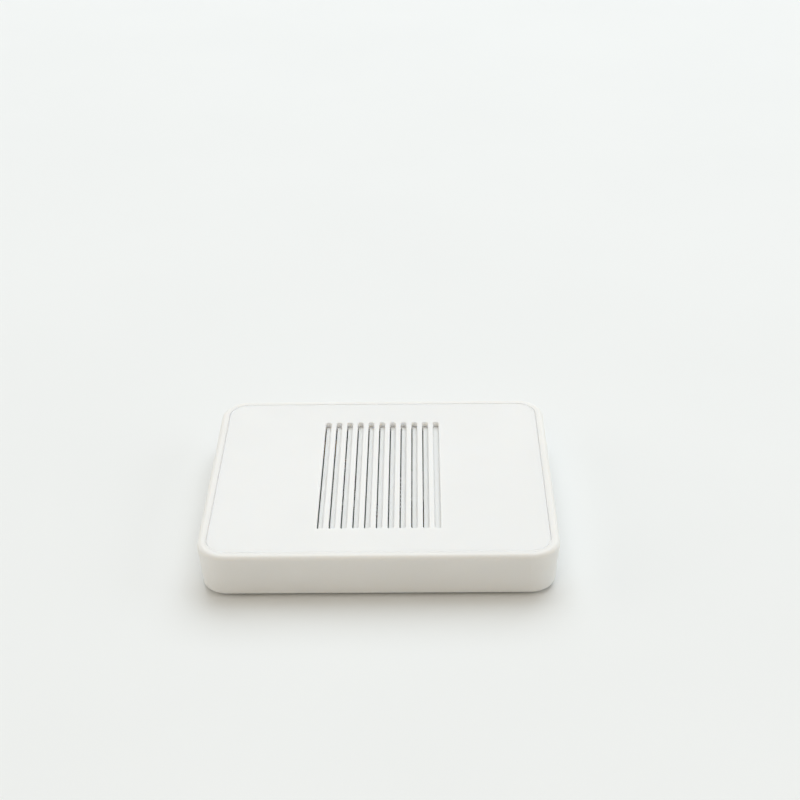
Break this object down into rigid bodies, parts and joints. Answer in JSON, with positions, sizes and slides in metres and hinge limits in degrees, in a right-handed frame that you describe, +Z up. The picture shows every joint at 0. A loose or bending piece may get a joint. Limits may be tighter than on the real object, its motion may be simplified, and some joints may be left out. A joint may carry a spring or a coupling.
{
  "type": "wifi led controller",
  "caption": "Flat white wifi controller box for LED lighting, with a slotted vent in its inset cover, a power inlet, indicator lamps and a reset button in its back.",
  "frame": {"origin": "centre of the footprint, on the surface that the feet stand on", "axes": "+Z up out of the slotted top, +X to the right and -Y towards the viewer of the picture's front side; +Y is the back with the power inlet"},
  "size_m": [0.093, 0.0788, 0.0131],
  "materials": {
    "case_plastic": "fine satin moulding",
    "cover_plastic": "fine satin moulding",
    "baffle_plastic": "plain moulding",
    "foot_rubber": "matt",
    "zinc_steel": "zinc plated",
    "tinned_steel": "tinned",
    "board_green": "solder mask",
    "module_board_black": "solder mask",
    "chip_black": "moulded epoxy",
    "antenna_ceramic": "glazed ceramic",
    "crystal_can": "nickel",
    "fuse_green": "moulded",
    "tantalum_amber": "moulded",
    "capacitor_tan": "ceramic",
    "resistor_black": "ceramic with a dark film",
    "connector_black": "moulded",
    "contact_brass": "gold flash",
    "contact_tin": "tinned wire",
    "lamp_lens_green": "clear tinted epoxy",
    "lamp_lens_blue": "clear tinted epoxy",
    "switch_black": "moulded",
    "button_grey": "fine satin moulding"
  },
  "bodies": {
    "housing": {"lower_case": "case_plastic", "top_cover": "cover_plastic", "vent_baffle": "baffle_plastic", "rubber_feet": "foot_rubber", "case_screws": "zinc_steel", "board_screws": "zinc_steel", "main_board": "board_green", "wifi_module_board": "module_board_black", "wifi_module_shield": "tinned_steel", "wifi_chip": "chip_black", "flash_chip": "chip_black", "microcontroller": "chip_black", "voltage_regulator": "chip_black", "radio_chip": "chip_black", "chip_antenna": "antenna_ceramic", "mcu_crystal": "crystal_can", "radio_crystal": "crystal_can", "input_fuse": "fuse_green", "input_diode": "chip_black", "tantalum_capacitors": "tantalum_amber", "chip_capacitors": "capacitor_tan", "chip_resistors": "resistor_black", "inlet_shell": "tinned_steel", "inlet_tongue": "connector_black", "inlet_contacts": "contact_brass", "power_led": "lamp_lens_green", "link_led": "lamp_lens_blue", "led_leads": "contact_tin", "reset_switch_case": "switch_black", "reset_switch_plate": "tinned_steel"},
    "reset_key": {"reset_button": "button_grey", "reset_plunger": "switch_black"}
  },
  "joints": [
    {"name": "reset_press", "type": "slide", "parent": "housing", "child": "reset_key", "axis": [0, -1, 0], "range_m": [0, 0.0003], "stiffness_N_per_m": 2000, "springref_m": -0.0001}
  ]
}
